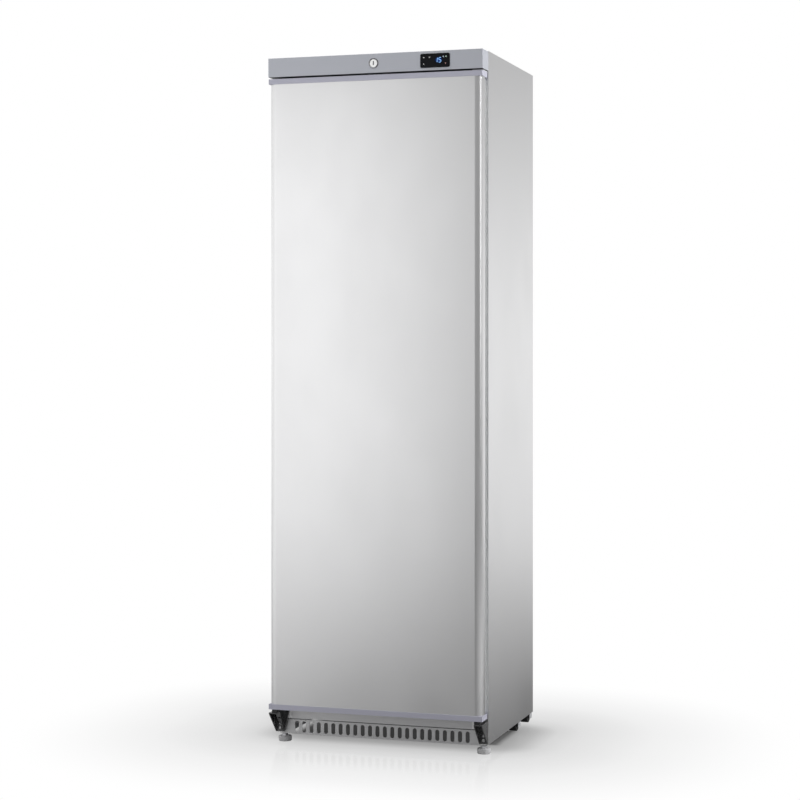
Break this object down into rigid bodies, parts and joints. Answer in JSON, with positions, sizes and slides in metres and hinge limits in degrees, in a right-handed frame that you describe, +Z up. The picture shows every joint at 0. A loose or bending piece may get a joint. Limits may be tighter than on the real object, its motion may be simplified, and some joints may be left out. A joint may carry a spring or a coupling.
{
  "type": "commercial upright refrigerator",
  "caption": "Tall stainless commercial refrigerator with one solid hinged door, finger grips along its edges, a control panel with lock and display above, and a slotted plinth.",
  "frame": {"origin": "centre of the footprint's bounding box, on the floor", "axes": "the door faces -Y, +X is the right-hand side seen from the front, +Z is up"},
  "size_m": [0.6, 0.585, 1.86],
  "materials": {
    "stainless_side": "satin",
    "stainless_door": "satin",
    "zinc_sheet": "satin",
    "rail_grey": "satin",
    "liner_white": "gloss",
    "foam_cream": "matte",
    "panel_silver": "satin",
    "case_black": "gloss",
    "lens_dark": "gloss",
    "key_grey": "satin",
    "lock_chrome": "polished",
    "bracket_black": "satin",
    "pad_black": "matte",
    "pin_steel": "satin",
    "screw_zinc": "satin",
    "shelf_white": "satin",
    "fan_plastic": "satin",
    "guard_chrome": "polished",
    "motor_grey": "satin",
    "cold_plate": "satin",
    "drain_grey": "satin",
    "pan_grey": "satin",
    "mount_rubber": "matte",
    "compressor_black": "satin",
    "relay_black": "matte",
    "copper": "satin",
    "condenser_black": "matte",
    "gland_black": "matte",
    "foot_grey": "satin",
    "roller_black": "matte",
    "cap_lavender": "satin",
    "gasket_grey": "matte",
    "bush_white": "matte"
  },
  "bodies": {
    "cabinet": {"side_panel_left": "stainless_side", "side_panel_right": "stainless_side", "top_panel": "stainless_side", "back_panel": "zinc_sheet", "base_pan": "zinc_sheet", "bottom_rail": "rail_grey", "inner_liner": "liner_white", "insulation_foam": "foam_cream", "plinth_grille": "rail_grey", "base_runners": "zinc_sheet", "control_panel": "panel_silver", "controller_case": "case_black", "display_lens": "lens_dark", "lock_body": "lock_chrome", "hinge_bracket_left": "bracket_black", "hinge_bracket_right": "bracket_black", "hinge_pads": "pad_black", "hinge_pins": "pin_steel", "top_hinge_plate": "zinc_sheet", "hinge_screws": "screw_zinc", "shelf_1": "shelf_white", "shelf_2": "shelf_white", "shelf_3": "shelf_white", "shelf_4": "shelf_white", "fan_housing": "fan_plastic", "fan_guard": "guard_chrome", "fan_motor": "motor_grey", "evaporator": "cold_plate", "drain_tube": "drain_grey", "evaporation_pan": "pan_grey", "compressor_tray": "zinc_sheet", "compressor_mounts": "mount_rubber", "compressor": "compressor_black", "relay_box": "relay_black", "filter_drier": "copper", "refrigerant_pipes": "copper", "condenser_tube": "condenser_black", "condenser_wires": "condenser_black", "condenser_clips": "gland_black", "cable_gland": "gland_black"},
    "door": {"door_skin": "stainless_door", "door_foam": "foam_cream", "door_liner": "liner_white", "door_cap_top": "cap_lavender", "door_cap_bottom": "cap_lavender", "door_gasket": "gasket_grey", "hinge_bushes": "bush_white"},
    "lock": {"lock_barrel": "lock_chrome", "lock_cam": "screw_zinc"},
    "set_key": {"key_set": "key_grey"},
    "light_key": {"key_light": "key_grey"},
    "up_key": {"key_up": "key_grey"},
    "down_key": {"key_down": "key_grey"},
    "left_foot": {"foot_left": "foot_grey"},
    "right_foot": {"foot_right": "foot_grey"},
    "middle_left_roller": {"roller_middle_left": "roller_black"},
    "middle_right_roller": {"roller_middle_right": "roller_black"},
    "rear_left_roller": {"roller_rear_left": "roller_black"},
    "rear_right_roller": {"roller_rear_right": "roller_black"},
    "fan_wheel": {"fan_impeller": "fan_plastic"}
  },
  "joints": [
    {"name": "door_hinge", "type": "hinge", "parent": "cabinet", "child": "door", "pos_m": [0.284, -0.262, 0.95], "axis": [0, 0, 1], "range_deg": [0, 120]},
    {"name": "lock_turn", "type": "hinge", "parent": "cabinet", "child": "lock", "pos_m": [0, -0.28, 1.8325], "axis": [0, 1, 0], "range_deg": [0, 90]},
    {"name": "set_key_press", "type": "slide", "parent": "cabinet", "child": "set_key", "axis": [0, 1, 0], "range_m": [0, 0.0006], "stiffness_N_per_m": 1200},
    {"name": "light_key_press", "type": "slide", "parent": "cabinet", "child": "light_key", "axis": [0, 1, 0], "range_m": [0, 0.0006], "stiffness_N_per_m": 1200},
    {"name": "up_key_press", "type": "slide", "parent": "cabinet", "child": "up_key", "axis": [0, 1, 0], "range_m": [0, 0.0006], "stiffness_N_per_m": 1200},
    {"name": "down_key_press", "type": "slide", "parent": "cabinet", "child": "down_key", "axis": [0, 1, 0], "range_m": [0, 0.0006], "stiffness_N_per_m": 1200},
    {"name": "left_foot_turn", "type": "hinge", "parent": "cabinet", "child": "left_foot", "pos_m": [-0.28195, -0.2105, 0.03], "axis": [0, 0, 1], "continuous": true},
    {"name": "right_foot_turn", "type": "hinge", "parent": "cabinet", "child": "right_foot", "pos_m": [0.28195, -0.2105, 0.03], "axis": [0, 0, 1], "continuous": true},
    {"name": "middle_left_roller_spin", "type": "hinge", "parent": "cabinet", "child": "middle_left_roller", "pos_m": [-0.28195, 0.1075, 0.02], "axis": [1, 0, 0], "continuous": true},
    {"name": "middle_right_roller_spin", "type": "hinge", "parent": "cabinet", "child": "middle_right_roller", "pos_m": [0.28195, 0.1075, 0.02], "axis": [1, 0, 0], "continuous": true},
    {"name": "rear_left_roller_spin", "type": "hinge", "parent": "cabinet", "child": "rear_left_roller", "pos_m": [-0.28195, 0.2395, 0.02], "axis": [1, 0, 0], "continuous": true},
    {"name": "rear_right_roller_spin", "type": "hinge", "parent": "cabinet", "child": "rear_right_roller", "pos_m": [0.28195, 0.2395, 0.02], "axis": [1, 0, 0], "continuous": true},
    {"name": "fan_spin", "type": "hinge", "parent": "cabinet", "child": "fan_wheel", "pos_m": [0, 0.17, 1.635], "axis": [0, 1, 0], "continuous": true}
  ]
}
